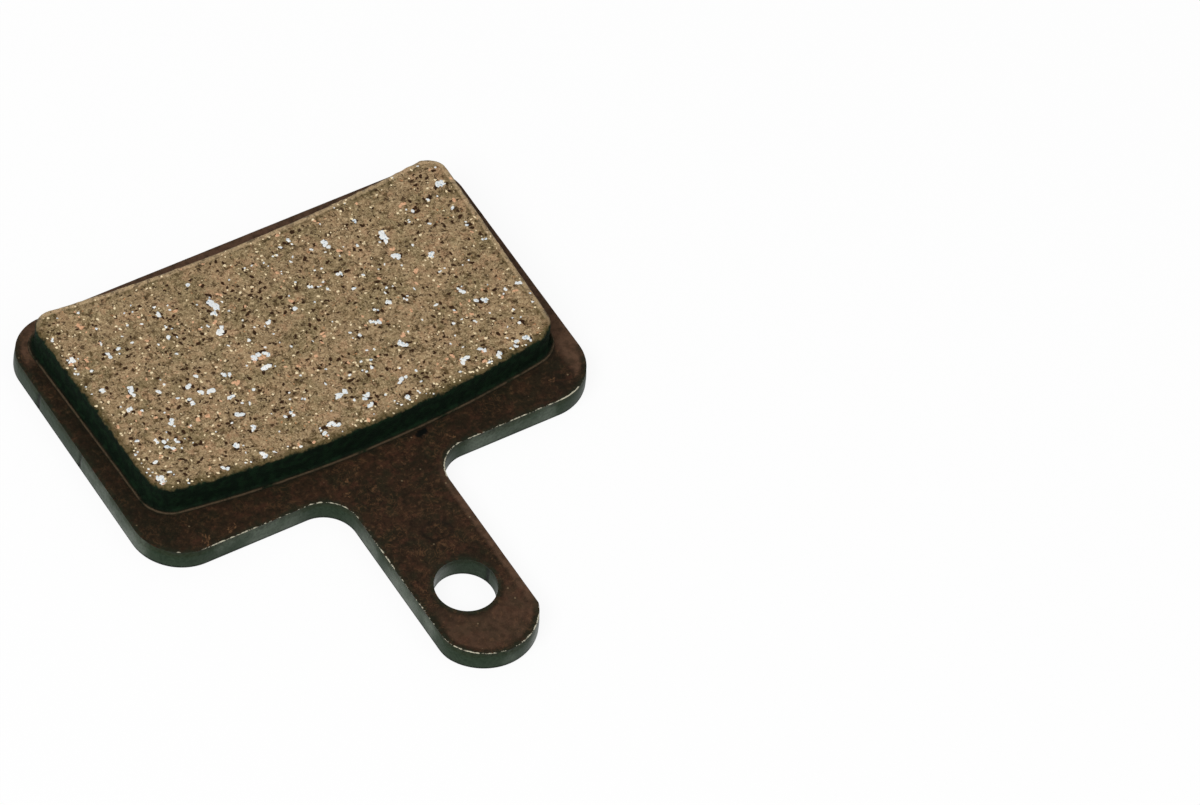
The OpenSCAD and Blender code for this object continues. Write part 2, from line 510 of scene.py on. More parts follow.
def green_paint():
    """Dark green paint, with its thin, thick, torn and bare places."""
    paint = Finish("green_paint")
    wall, under = paint.mark("wall"), paint.mark("under")
    patches = paint.noise(3.5, 11, detail=3)
    grain = paint.noise(0.16, 23, detail=3)
    base = paint.blend(paint.between(patches, 0.35, 0.65), tint(47, 70, 54), tint(52, 76, 58))
    base = paint.blend(paint.between(grain, 0.35, 0.75) * 0.3, base, tint(74, 92, 76))
    # Thick paint darkens the cut. In the holes and on the left wall, the same mark is painted shade
    # and sheen.
    thick = paint.between(paint.noise(3.6, 29, detail=3, roughness=0.6) * 0.8
                          + paint.mark("thick") * 0.42, 0.3, 0.58)
    blotches = paint.between(paint.noise(0.55, 43, detail=4, roughness=0.65), 0.38, 0.66)
    cut = paint.blend(thick, tint(44, 57, 38), tint(16, 36, 14))
    cut = paint.blend(blotches * 0.6, cut, tint(24, 42, 22))
    cut = paint.blend(paint.mark("tear") * 0.6, cut, tint(34, 38, 20))
    base = paint.blend(wall, base, cut)
    # Painted shade: nearly black along the rounded back rim and the wall's foot, where the pad meets
    # the floor.
    base = paint.blend(under, base, tint(6, 9, 7))
    base = paint.blend(paint.mark("scar"), base, tint(18, 24, 18))
    base = paint.blend(paint.mark("nick"), base, tint(8, 10, 8))
    torn = paint.mark("edge") * paint.between(paint.noise(0.4, 71, detail=3), 0.35, 0.6)
    base = paint.blend(torn, base, tint(26, 28, 20))
    bright = worn_steel(paint)
    base = paint.blend(bright, base, tint(204, 200, 180))
    speckle = paint.between(paint.noise(0.2, 53, detail=3, roughness=0.65), 0.35, 0.6)
    base = paint.blend(speckle * wall * (1 - thick * 0.7) * 0.45, base, tint(74, 88, 70))
    gloss = (0.85 - under * 0.8 - wall * 0.26 - thick * wall * 0.45
             - paint.mark("tear") * 0.2) * (1 - paint.mark("nick"))
    upright = paint.noise(0.3, 31, detail=2, stretch=(1, 1, 0.12))
    orange_peel = paint.bump(paint.noise(0.45, 47, detail=3), 0.035)
    normal = paint.bump(upright + grain * 0.4, 0.008, orange_peel)
    return paint.surface(Base_Color=base, Roughness=0.5 + patches * 0.1, Specular_IOR_Level=0.1,
                         Coat_Weight=gloss, Coat_Roughness=0.24, Metallic=bright * 0.5,
                         Normal=normal)


green = green_paint()

# %% [markdown]
# ## Adhesive coat
# The side that carries the block was primed with a thin brown adhesive before moulding. It is
# dull, mottled in rust and olive, nearly black along the plate's rim, rubbed paler at the tab's
# end, and dusted with grains. Around the block's foot it is darkened by painted shade, and the
# body's strips are darker than the tab. One noise would give one size of cloud, so several are
# laid over one another, from wide patches down to grain. The thin pale curls are the lines where
# one noise passes its middle value, like contour lines on a map.

# %% Adhesive coat
def adhesive_coat():
    """Dull brown adhesive, mottled and worn, with a dark band around its edges."""
    coat = Finish("adhesive_coat")
    patches = coat.noise(2.4, 5, detail=4, roughness=0.6)
    rust = coat.noise(0.55, 7, detail=4, roughness=0.65)
    olive = coat.noise(1.3, 17, detail=4, roughness=0.6)
    grain = coat.noise(0.13, 29, detail=3, roughness=0.65)
    base = coat.blend(coat.between(patches, 0.38, 0.62), tint(38, 29, 18), tint(52, 35, 23))
    base = coat.blend(coat.between(rust, 0.46, 0.66) * 0.6, base, tint(68, 42, 30))
    base = coat.blend(coat.between(olive, 0.46, 0.62) * 0.65, base, tint(34, 33, 20))
    curls = coat.noise(0.7, 93, detail=2, roughness=0.5, distortion=1.6) - 0.5
    wet = coat.between(coat.noise(2.0, 95, detail=2), 0.4, 0.6)
    base = coat.blend(coat.between(curls * curls, 0.0007, 0.0) * wet * 0.45, base, tint(98, 70, 46))
    crumbs = coat.noise(0.3, 83, detail=3, roughness=0.6, distortion=0.5)
    base = coat.blend(coat.between(crumbs, 0.5, 0.34) * 0.6, base, tint(26, 18, 11))
    base = coat.blend(coat.between(crumbs, 0.56, 0.72) * 0.5, base, tint(96, 70, 48))
    # Darker along the plate's rim and over the body's strips, and painted shade around the block's
    # foot.
    dark_rim_and_shade = coat.mark("band") + (coat.noise(0.6, 33, detail=3) - 0.5) * 0.7
    base = coat.blend(coat.between(dark_rim_and_shade, 0.3, 0.8) * 0.75, base, tint(24, 22, 13))
    base = coat.blend(coat.between(grain, 0.55, 0.78) * 0.3, base, tint(86, 68, 50))
    base = coat.blend(coat.between(grain, 0.45, 0.28) * 0.45, base, tint(16, 12, 7))
    rubbed = coat.between(coat.noise(0.45, 85, detail=3, roughness=0.6), 0.35, 0.62)
    base = coat.blend(coat.mark("worn") * (0.22 + rubbed * 0.26), base, tint(94, 70, 54))
    dust = coat.spots(0.7, 0.08, 7, 0.25)
    base = coat.blend(dust * 0.6, base, tint(130, 112, 86))
    # Painted shade: a dark ring along the edge of the oval hollow on the tab.
    base = coat.blend(coat.mark("dimple") * 0.75, base, tint(22, 18, 12))
    base = coat.blend(coat.mark("scar"), base, tint(5, 8, 6))
    rim = coat.mark("edge") * coat.between(coat.noise(0.35, 39, detail=3), 0.3, 0.6)
    base = coat.blend(rim * 0.7, base, tint(32, 40, 28))
    bright = worn_steel(coat)
    base = coat.blend(bright, base, tint(206, 200, 178))
    normal = coat.bump(grain + rust * 1.5 + patches, 0.035)
    return coat.surface(Base_Color=base, Roughness=0.55 + grain * 0.2, Metallic=bright * 0.5,
                        Specular_IOR_Level=0.08, Normal=normal)


brown = adhesive_coat()

# %% [markdown]
# ## Backing plate
# A blanked plate tells how it was cut. The punch rounds the rim on one side, here the back,
# shears the wall smooth for about two thirds of the thickness, tears the rest, and pushes up a
# thin burr at the other rim. So the wall's profile is walked from the rounded back rim up to
# the burr, and the torn part and the burr get an unevenness that changes along the outline. The
# sheared part stands a little further out than the torn one. The back rim is rounded a little
# tighter than in the CAD source, as it is on the real pad. Paint and wear differ from side to
# side, so each point of the outline first gets its own share of them.

# %% Paint and wear along the outline
left_side_x, near_side_y, tab_side_y = -14.5, -8.5, -12.5
away_from_view = (0.5, 1.0)


def far_sides(outline):
    """1 along the far and the right side of an outline, whose rim is worn pale."""
    return averaged(np.clip(outline.outward @ away_from_view * 3 - 0.5, 0, 1), 10)


def paint_thickness(outline):
    """Paint gathers where the outline turns, but was rubbed off the tab's right end.

    On the left wall it is a painted sheen: paler towards the near end.
    """
    after = np.roll(outline.outward, -1, axis=0)
    turning = np.abs(outline.outward[:, 0] * after[:, 1] - outline.outward[:, 1] * after[:, 0])
    thick = np.clip(turning / 0.03, 0, 1)
    x, y = outline.points.T
    tab_end = y < tab_end_y
    thick[tab_end & (x > -1)] = 0.3
    thick[tab_end & (x > 1.2)] = 0.1
    # On the left wall the mark is a painted sheen: paler towards the near end, darker towards the far
    # end.
    left = x < left_side_x
    thick[left] = np.clip(0.3 + y[left] / 6 + 0.8 * rough(outline.walked[left], 0, 0.9, 700), 0, 1)
    return averaged(thick, 8)


def burr_brightness(outline):
    """How much bare steel the burr shows: most around the tab's end, least on the far side."""
    x, y = outline.points.T
    lips = np.full(len(x), 0.3)
    lips[x < left_side_x] = 0.5
    lips[y < near_side_y] = 0.84
    lips[(y < tab_side_y) & (x < 0)] = 0.8
    lips[(y < tab_side_y) & (x > 0)] = 0.5
    lips[y < tab_end_y - 1.0] = 0.85
    return averaged(lips, 10)


print("paint is", round(float(paint_thickness(plate_outline).mean()), 2), "thick on average")

# %% Profile of a cut wall
sheared_grow = 0.05
burr_h = 0.03
round_steps, wall_steps = 7, 12
# Shares of the thickness: where the wall starts to draw in, over how much, and where it looks torn.
torn_from, torn_share, tear_from = 0.55, 0.45, 0.68
nick_depth, below_burr = 0.06, 0.06
# Each ring of the burr: how far in, how high, how worn and how dark it is.
burr_profile = ((0.02, -0.3, 0.5, 1), (0.01, 0.4, 1, 1), (0.035, 1, 1.05, 1),
                (0.08, 0.6, 0.9, 1), (0.14, 0, 0.3, 0.9), (0.3, 0, 0, 0.3))
# The last bands of the burr carry the adhesive, and the rest of the wall carries paint.
adhesive_bands = 4


def nicks_along(outline, nicks):
    """1 in each small nick of the paint, 0 elsewhere."""
    nick = np.zeros(len(outline.points))
    for place, half_width in nicks:
        reach = np.hypot(*(outline.points - place).T) / half_width
        nick = np.maximum(nick, np.clip(1.6 - reach, 0, 1))
    return nick


def wall_rows(skin, outline, rounding, seed, lips, hole=False, nicks=()):
    """Rings from the back face up a cut wall to the front face. Returns first and last."""
    walked = outline.walked
    inwards = 1 if hole else -1
    if hole:
        # In a hole the mark is painted shade alone: darker on the part of the wall that faces away
        # from the light.
        thick, far, grow = np.clip(0.2 + outline.outward[:, 0], 0, 1), 0, 0
    else:
        thick, far, grow = paint_thickness(outline), far_sides(outline), sheared_grow
    nick = nicks_along(outline, nicks)
    rings = []
    # The under mark is painted shade: full on the rounded back rim, and fading out up the wall's
    # foot.
    for turn in np.linspace(0, 90, round_steps):
        inset = rounding * (1 - math.sin(math.radians(turn))) - grow
        height = rounding * (1 - math.cos(math.radians(turn)))
        rings.append(skin.ring(outline.grown(inwards * inset), height, wall=turn / 90,
                               under=min(1, turn / 30), nick=nick * (turn > 40), thick=thick))
    for height in np.linspace(rounding, plate_t - below_burr, wall_steps)[1:]:
        torn = max(0.0, (height / plate_t - torn_from) / torn_share)
        uneven = 0.014 * np.abs(rough(walked, height * 4, 0.5, seed))
        inset = torn * (0.012 + uneven) + nick_depth * nick
        inset = inset - grow * min(1, 1.6 * (1 - height / plate_t))
        ragged = 0.1 * rough(walked, 0, 1.5, seed + 5)
        tear = np.clip((height / plate_t - tear_from + ragged) / 0.14, 0, 1)
        rings.append(skin.ring(outline.grown(inwards * inset), height, wall=1, nick=nick,
                               thick=thick, tear=tear,
                               under=np.clip(1.2 - (height - rounding) / 0.08, 0, 1),
                               edge=np.clip(1 - (plate_t - height) / 0.2, 0, 0.9)))
    lip = np.clip(0.55 + 0.6 * rough(walked, 0, 0.8, seed + 9), 0, 1)
    for inset, rise, worn, edge in burr_profile:
        rings.append(skin.ring(outline.grown(inwards * inset), plate_t + rise * burr_h * lip,
                               lip=worn * lips, edge=edge * (1 - 0.8 * far), band=0.45 * (1 - far),
                               wall=1, thick=thick, tear=1, worn=1.8 * far))
    first_adhesive = len(rings) - 1 - adhesive_bands
    for number, (lower, upper) in enumerate(zip(rings, rings[1:])):
        skin.band(lower, upper, finish=0 if number < first_adhesive else 1)
    return rings[0], rings[-1]


def hole_wall(skin, middle, radius, rounding, seed, nicks=()):
    """The wall of a punched hole, with a duller burr than the plate's rim."""
    return wall_rows(skin, hole_rim(middle, radius), rounding, seed, lips=0.4, hole=True, nicks=nicks)


print("a cut wall has", round_steps + wall_steps - 1 + len(burr_profile), "rings")

# %% [markdown]
# The pin hole was punched, so its wall is made as the rim's is, but facing inwards. The keying
# holes are made in the same way, and the plugs nearly fill them. The recess is only a shallow
# pressed dent, so it has a soft wall and no burr.

# %% Walls of the plate, its holes and its recess
back_round_r = 0.14
pin_hole_r, pin_middle = 1.85, (0.0, -18.8)
key_hole_r, key_places = 2.55, [(-9.3, 1.1), (9.3, 4.1)]
recess_r, recess_depth, recess_place = 2.05, 0.3, (9.2, -2.7)

plate = Skin("lip", "edge", "band", "wall", "under", "thick", "tear", "scar", "nick", "worn",
             "dimple")
outer_back, outer_front = wall_rows(plate, plate_outline, back_round_r, 100,
                                    burr_brightness(plate_outline),
                                    nicks=[((-15, 4.7), 0.16), ((-15, -0.24), 0.12)])
pin_back, pin_front = hole_wall(plate, pin_middle, pin_hole_r, 0.12, 200,
                                nicks=[((1.8, -18.3), 0.12)])
key_rings = [hole_wall(plate, place, key_hole_r, 0.06, 300) for place in key_places]

# Each ring of the recess: how far in and how deep.
recess_profile = ((-0.1, 0.0), (-0.05, 0.012), (0.0, 0.06), (0.03, 0.16), (0.1, 0.24),
                  (0.22, 0.285), (0.4, recess_depth))
recess = hole_rim(recess_place, recess_r)
recess_rings = [plate.ring(recess.grown(-inset), height) for inset, height in recess_profile]
for lower, upper in zip(recess_rings, recess_rings[1:]):
    plate.band(lower, upper)
print("walls of the plate:", len(plate.faces), "faces")

# %% [markdown]
# The flat faces are nets. The front net carries a shallow ripple, a small dark stain by the
# block's foot and a flat oval hollow on the tab. The back net carries a teardrop scar beside
# one plug, where compound was squeezed out and broken off, and the recess gets a floor.

# %% Front face of the plate
front_step, back_step, net_margin = 0.16, 0.2, 0.12
stain_place, stain_size, stain_turn = (3.4, -8.0), (0.5, 0.28), 20
dimple_place, dimple_size, dimple_turn = (0.55, -14.6), (1.05, 0.75), -15
dimple_depth = 0.06
# Beyond these lines the adhesive is worn pale: the far strip, the right strip and the tab's end.
far_strip_y, right_strip_x, tab_worn_y = 6.5, 13.5, -18.5


def spot(x, y, middle, half_length, half_width, turn):
    """1 in the middle of a turned oval, falling to 0 at its edge."""
    turn = math.radians(turn)
    right, up = x - middle[0], y - middle[1]
    along = (right * math.cos(turn) + up * math.sin(turn)) / half_length
    across = (up * math.cos(turn) - right * math.sin(turn)) / half_width
    return np.clip(1 - (along * along + across * across), 0, 1)


front_rim = rim_of(plate, outer_front)
holes = [(pin_middle, pin_hole_r + 0.3)] + [(place, key_hole_r + 0.3) for place in key_places]
net = net_points(front_rim, front_step, net_margin, 7, holes)
depth = front_rim.depths(net)
ripple = 0.006 * rough(*net.T, 1.3, 400) + 0.004 * rough(*net.T, 0.5, 405)
stain = np.clip(3 * spot(*net.T, stain_place, *stain_size, stain_turn), 0, 1)
to_block = np.abs(block_outline.depths(net))
x, y = net.T
beyond = np.clip((y - far_strip_y) / 1.0, 0, 1) + np.clip((x - right_strip_x) / 0.5, 0, 1)
# The band mark: darker near the plate's rim, painted shade near the block's foot, darker over the
# body than on the tab.
band = np.maximum(np.clip(0.45 - depth / 0.9, 0, 1), np.clip(1.2 - to_block / 0.8, 0, 1))
on_body = np.clip(np.abs(x) - 3, 0, 1) * np.clip(y + 10.5, 0, 1)
band = np.maximum(band, on_body * (0.5 + 0.12 * np.clip(-12 - x, 0, 1)))
band *= np.clip(1 - beyond, 0, 1)
worn = np.clip((tab_worn_y - y) / 3, 0, 1) + 1.8 * np.clip(beyond, 0, 1)
dimple = np.clip(spot(x, y, dimple_place, *dimple_size, dimple_turn) * 1.8, 0, 1)
# The hollow's depth follows the oval. Its dimple mark, a ring along the hollow's edge, paints shade
# there.
plate.fill([outer_front, pin_front] + [rings[1] for rings in key_rings], net,
           plate_t - np.abs(ripple) - dimple_depth * dimple, finish=1, scar=stain, band=band,
           worn=worn, dimple=4 * dimple * (1 - dimple))
print("front net:", len(net), "points")

# %% Back face of the plate
scar_middle, scar_size = (-8.4, 3.95), (0.42, 0.3)
tail_middle, tail_size = (-8.62, 3.62), (0.4, 0.17)
scar_turn, scar_depth = 75, 0.08

back_rim = rim_of(plate, outer_back)
back_holes = [(pin_middle, pin_hole_r + 0.12), (recess_place, recess_r + 0.1)]
back_holes += [(place, key_hole_r + 0.06) for place in key_places]
coarse = net_points(back_rim, back_step, net_margin, 8, back_holes)
coarse = coarse[np.hypot(*(coarse - scar_middle).T) > 1.0]
fine = net_points(circle(scar_middle, 0.9), 0.07, 0.05, 12, back_holes)
net = np.vstack([coarse, fine])
scar = np.maximum(spot(*net.T, scar_middle, *scar_size, scar_turn),
                  spot(*net.T, tail_middle, *tail_size, scar_turn))
plate.fill([outer_back, pin_back] + [rings[0] for rings in key_rings] + [recess_rings[0]], net,
           np.abs(0.004 * rough(*net.T, 2.0, 410)) + scar_depth * scar, up=False,
           scar=np.clip(3 * scar, 0, 1))
floor_net = net_points(rim_of(plate, recess_rings[-1][::-1]), back_step, 0.1, 9)
plate.fill([recess_rings[-1]], floor_net, recess_depth, up=False)
backing = plate.piece("plate_skin", [green, brown])
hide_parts("backing_plate")

# %% [markdown]
# Where the adhesive wrinkled, thin strings stand on the plate, bent in short curls. Each is
# a strip swept along an arc, with an oval section that tapers to both ends. A bump in the
# material would look much the same from straight above, but nothing would stand up from the
# side.

# %% Wrinkles in the adhesive
string_sides, string_step, string_h, string_sunk = 8, 0.05, 0.02, 0.004
curl_chance = np.random.default_rng(77)


def wrinkle_finish():
    """Adhesive that curled into pale strings as it dried."""
    string = Finish("dried_adhesive")
    grain = string.noise(0.2, 51, detail=3)
    base = string.blend(string.between(grain, 0.35, 0.65), tint(52, 35, 23), tint(96, 70, 46))
    return string.surface(Base_Color=base, Roughness=0.5 + grain * 0.2, Specular_IOR_Level=0.1,
                          Normal=string.bump(grain, 0.01))


def add_string(skin, middle, radius, start, sweep, width, height):
    """One string along an arc, standing on the plate's front face."""
    steps = max(6, int(abs(math.radians(sweep)) * radius / string_step))
    rows = []
    for step in range(steps + 1):
        along = step / steps
        turn = math.radians(start + sweep * along)
        taper = max(0.08, math.sin(math.pi * along) ** 0.6)
        wave = 0.05 * math.sin(along * 9 + start)
        section = []
        for side in np.linspace(0, 2 * math.pi, string_sides, endpoint=False):
            reach = radius + wave + 0.5 * width * taper * math.cos(side)
            section.append((middle[0] + reach * math.cos(turn), middle[1] + reach * math.sin(turn),
                            plate_t - string_sunk + height * taper * math.sin(side)))
        section = np.array(section)
        rows.append(skin.ring(section[:, :2], section[:, 2]))
    for before, after in zip(rows, rows[1:]):
        skin.band(before, after)
    skin.faces += [rows[0][::-1].tolist(), rows[-1].tolist()]
    skin.finishes += [0, 0]


dried = wrinkle_finish()
wrinkles = Skin()
# Where the curls lie, how many strings each has, and how wide it is.
curl_places = [((-12.0, -8.5), 4, 0.45), ((-10.2, -8.7), 3, 0.4), ((-2.76, -10.2), 4, 0.16),
               ((-2.4, -8.9), 3, 0.14), ((-1.3, -10.15), 4, 0.16), ((4.84, -8.8), 4, 0.14),
               ((12.2, -7.9), 3, 0.2), ((1.2, -9.6), 2, 0.15)]
for (x, y), count, size in curl_places:
    start = curl_chance.uniform(0, 360)
    for number in range(count):
        radius = size * (0.8 + number * 0.45) + curl_chance.uniform(-0.03, 0.03)
        shift = curl_chance.normal(0, size * 0.3, 2)
        add_string(wrinkles, (x + shift[0], y + shift[1]), radius,
                   start + curl_chance.uniform(-40, 40), curl_chance.uniform(50, 110),
                   curl_chance.uniform(0.1, 0.16), string_h)
strings = wrinkles.piece("adhesive_strings", [dried])

# %% [markdown]
# ## Friction compound
# The compound is a pressed mix: a greyish tan ground of fibre and resin, brown pores, pinkish
# and olive grains, and pale dust. Its face was ground flat and shows all of it. Its sides
# caught the green paint, which soaked in. Their near black is that paint, darkened further by
# painted shade on the upright walls. The border between the two wanders along the rim. Both are
# one material, because a seam between two materials would follow the mesh. A mark tells how far
# a place lies inside the rim, and noise moves the border.

# %% Friction compound
def friction_compound():
    """The mix on the ground face, and the soaked paint on the sides below it."""
    mix = Finish("friction_compound")
    grain = mix.noise(0.15, 3, detail=2, roughness=0.65, distortion=1.0)
    clumps = mix.noise(0.42, 13, detail=4, roughness=0.7, distortion=0.8)
    clouds = mix.noise(2.2, 19, detail=3, roughness=0.6)
    ground = mix.blend(mix.between(clouds, 0.4, 0.6) * 0.65, tint(155, 131, 98), tint(124, 110, 76))
    pinkish = mix.between(mix.noise(1.2, 27, detail=3, roughness=0.6), 0.48, 0.64)
    ground = mix.blend(pinkish * 0.4, ground, tint(178, 146, 110))
    rosy = mix.between(mix.noise(0.7, 23, detail=4, roughness=0.6), 0.5, 0.66)
    ground = mix.blend(rosy * 0.5, ground, tint(184, 144, 110))
    ground = mix.blend(mix.between(grain, 0.5, 0.3) * 0.62, ground, tint(62, 46, 27))
    ground = mix.blend(mix.between(grain, 0.5, 0.7) * 0.62, ground, tint(222, 196, 156))
    dark_clumps = mix.between(clumps, 0.47, 0.36)
    ground = mix.blend(dark_clumps * 0.85, ground, tint(80, 63, 38))
    pale_clumps = mix.between(clumps, 0.55, 0.68)
    ground = mix.blend(pale_clumps * 0.5, ground, tint(190, 165, 126))
    rusty = mix.between(mix.noise(0.36, 37, detail=2, roughness=0.7), 0.67, 0.73)
    ground = mix.blend(rusty * 0.65, ground, tint(204, 142, 98))
    pores = mix.between(mix.noise(0.23, 57, detail=2, roughness=0.6), 0.59, 0.68)
    crowded = mix.between(mix.noise(1.5, 63, detail=2), 0.35, 0.6)
    ground = mix.blend(pores * (0.4 + crowded * 0.6), ground, tint(62, 42, 26))
    ground = mix.blend(mix.spots(0.42, 0.08, 59, 0.14) * 0.7, ground, tint(230, 208, 168))
    ground = mix.blend(mix.between(mix.mark("pit"), 0.08, 0.4), ground, tint(56, 37, 22))
    wall_grain = mix.noise(0.5, 71, detail=4)
    # The sides' near-black green is the soaked-in paint, darkened further as painted shade.
    side = mix.blend(mix.between(wall_grain, 0.4, 0.7), tint(9, 22, 12), tint(17, 36, 20))
    # The flash line's paler brown is the compound, and partly a painted highlight where its edge
    # catches the light.
    flash = mix.mark("flash") * mix.between(mix.noise(1.3, 73, detail=4, roughness=0.6), 0.32, 0.52)
    side = mix.blend(flash * 0.9, side, tint(84, 69, 53))
    fray = mix.noise(0.8, 79, detail=5, roughness=0.62)
    crumbs = mix.noise(0.25, 89, detail=3, roughness=0.6)
    bare = mix.mark("bare")
    inset = mix.mark("inset") + bare * 0.16 + (fray - 0.5) * 0.9 + (crumbs - 0.5) * 0.45
    dirty_rim = mix.between(inset, 0.75, 0.1) * (1 - bare)
    ground = mix.blend(dirty_rim * 0.8, ground, tint(76, 66, 36))
    ground = mix.blend(bare * mix.between(inset, 2.0, 0.2) * 0.28, ground, tint(214, 188, 150))
    # On the far and right sides the grey outermost line is unpainted compound, partly a painted
    # highlight on the rounded rim.
    ground = mix.blend(bare * mix.between(inset, 0.3, 0.12) * 0.5, ground, tint(142, 130, 110))
    base = mix.blend(mix.between(inset, -0.14, 0.16), side, ground)
    normal = mix.bump(grain + clumps * 0.8 - pores * 0.8, 0.07)
    return mix.surface(Base_Color=base, Roughness=0.7 + grain * 0.15, Specular_IOR_Level=0.08,
                       Normal=normal)


compound = friction_compound()

# %% [markdown]
# ## Friction block
# The block is walked in the same way: a thin flash around its foot, an upright wall, a rim that
# crumbled a little, and the ground face. The face is a fine net, pushed down into several
# hundred pits where grains broke out. A pit is an oval with a ragged edge. Bump in the material
# would look the same from above, but real pits also show from the side and in the mesh. Some
# lie beside the larger flecks, where the mix shrank away from the metal, and there their dark
# colour is also a painted shadow of the fleck.

# %% Pits of the friction face
# The face lies this far below the block's top, in mm, so that no fleck stands out of the CAD's box.
face_sunk = 0.04
face_z = block_top - face_sunk
pit_count, pit_reach = 560, 0.6
chance = np.random.default_rng(2024)


def inside_block(x, y, margin):
    """Whether a place lies on the face, at least margin away from the block's rim."""
    return block_outline.depths([(x, y)])[0] > margin


def scattered(count, margin, clusters=0, spread=1.5, share=0.5):
    """Random places on the face, some of them gathered around cluster middles."""
    middles, places = [], []
    while len(places) < count:
        if middles and len(middles) >= clusters and chance.random() < share:
            middle = middles[chance.integers(len(middles))]
            x, y = middle + chance.normal(0, spread, 2)
        else:
            x = chance.uniform(-block_w / 2, block_w / 2)
            y = chance.uniform(-block_near, block_far + 1)
        if inside_block(x, y, margin):
            if len(middles) < clusters:
                middles.append(np.array([x, y]))
            else:
                places.append((x, y))
    return places


def pit(x, y, radius):
    """A pit: place, radius, stretch, turn and depth."""
    return (x, y, radius, chance.uniform(1, 2.4), chance.uniform(0, 180),
            radius * chance.uniform(0.25, 0.5))


print("the face lies at", round(face_z, 3), "mm")

# %% Places of the flecks and the pits
# Where the larger bright flecks lie in the face. The first 33 places come from a program that
# looked for bright spots in the photograph. The other nine, and the 20 small ones below, were
# picked in it one by one.
large_places = [(-6.0, -1.8), (-5.4, -0.3), (-7.0, -0.9), (-8.2, -1.1), (-3.0, -0.9), (-2.6, 0.0),
                (-3.2, 0.1), (-3.5, 4.7), (-3.9, 4.0), (-4.1, 2.7), (-11.0, -3.5), (-9.9, -1.9),
                (-12.4, 2.0), (-11.7, 0.0), (-10.9, 1.3), (-12.9, 4.7), (-12.6, -5.3), (-6.0, -4.4),
                (-0.2, -4.6), (1.0, -5.4), (3.4, -5.3), (-2.5, -6.7), (4.9, -3.0), (4.3, -0.8),
                (5.7, 0.2), (-1.3, 2.0), (10.9, -2.3), (10.0, -1.1), (9.8, 2.1), (7.9, 4.5),
                (8.9, -5.5), (7.5, -5.7), (13.0, 6.4), (11.6, -5.8), (9.5, -6.3), (-6.5, -6.4),
                (8.0, 4.5), (7.9, 2.9), (4.7, 5.6), (-6.2, -3.2), (0.9, -6.1), (-1.7, -6.3)]
small_places = [(11.7, -6.1), (10.6, -5.4), (10.9, -5.9), (2.3, -3.7), (13.3, -2.1), (13.2, 1.7),
                (6.2, 1.1), (6.3, 4.7), (7.1, 6.3), (10.9, 4.2), (9.9, 4.9), (0.6, 2.3),
                (-11.9, -5.0), (-8.9, -6.2), (-11.4, -2.7), (-10.7, 5.0), (-11.0, 0.9),
                (-7.8, -0.1), (-2.6, -6.4), (3.1, -6.5)]
small_places += scattered(52, 0.3, clusters=16, spread=1.7, share=0.6)
pits = [pit(x, y, chance.uniform(0.05, 0.1))
        for x, y in scattered(pit_count, 0.15, clusters=34, spread=1.2, share=0.55)]
# Pits beside each fleck: real hollows whose dark colour also paints the fleck's shadow.
for x, y in large_places + small_places:
    for turn in chance.uniform(0, 2 * math.pi, 2):
        step = chance.uniform(0.2, 0.36)
        beside_x, beside_y = x + step * math.cos(turn), y + step * math.sin(turn)
        if inside_block(beside_x, beside_y, 0.2):
            pits.append(pit(beside_x, beside_y, chance.uniform(0.06, 0.11)))


def pit_depth(x, y):
    """How far each place lies below the face because of pits, in mm."""
    depth = np.zeros(len(x))
    ragged = 0.6 * bumps(x, y, 0.11, 500)
    for middle_x, middle_y, radius, stretch, turn, deep in pits:
        near = np.flatnonzero((np.abs(x - middle_x) < pit_reach) & (np.abs(y - middle_y) < pit_reach))
        hollow = spot(x[near], y[near], (middle_x, middle_y), radius * stretch, radius, turn)
        hollow = np.clip(hollow * (1 + ragged[near]) * 1.6, 0, 1)
        depth[near] = np.maximum(depth[near], deep * hollow)
    return depth


def face_height(x, y):
    """Height of the ground face before its pits."""
    return face_z + 0.005 * rough(x, y, 0.9, 510) + 0.006 * rough(x, y, 0.22, 520, octaves=2)


print(len(pits), "pits")

# %% Friction block
rim_r, wall_inset, flat_inset = 0.16, 0.012, 0.3
face_step = 0.085
# Depth at which a pit's mark is full, in mm.
full_pit = 0.045
# Each ring of the foot: how far out, how high, and how much of the flash shows.
foot_profile = ((0.36, -0.02, 0), (0.35, 0.03, 0.6), (0.325, 0.1, 1), (0.28, 0.115, 1),
                (0.24, 0.07, 0.6), (0.17, 0.035, 0.1), (0.06, 0.03, 0), (0.02, 0.05, 0))

block = Skin("inset", "pit", "flash", "bare")
walked = block_outline.walked
bare = far_sides(block_outline)
wobble = rough(walked, 0, 1.6, 530)
rings = []
for grow, rise, flash in foot_profile:
    uneven = 1 + 0.3 * rough(walked, 0, 1.1, 540) if rise > 0.05 else 1
    rings.append(block.ring(block_outline.grown(grow - 0.02 * np.abs(wobble)),
                            plate_t + rise * uneven, flash=flash, inset=-1.0, bare=bare))
for height in np.linspace(plate_t + 0.12, face_z - rim_r - 0.02, 10):
    bulge = 0.012 * rough(walked, height * 3, 0.8, 550)
    rings.append(block.ring(block_outline.grown(-wall_inset + bulge), height,
                            inset=height - face_z, bare=bare))
crumble = np.clip(0.4 + 0.8 * rough(walked, 0, 0.45, 560), 0, 1.4)
for turn in np.linspace(10, 90, 8):
    lean, lift = 1 - math.cos(math.radians(turn)), math.sin(math.radians(turn))
    inset = (0.08 + 0.1 * crumble) * lean + 0.02 * rough(walked, turn / 30, 0.3, 570) * lift
    height = face_z - rim_r + (rim_r - 0.03 * crumble * (1 - turn / 90)) * lift
    rings.append(block.ring(block_outline.grown(-wall_inset - inset), height,
                            inset=0.14 * turn / 90 - rim_r * (1 - turn / 90), bare=bare))
last = block_outline.grown(-flat_inset)
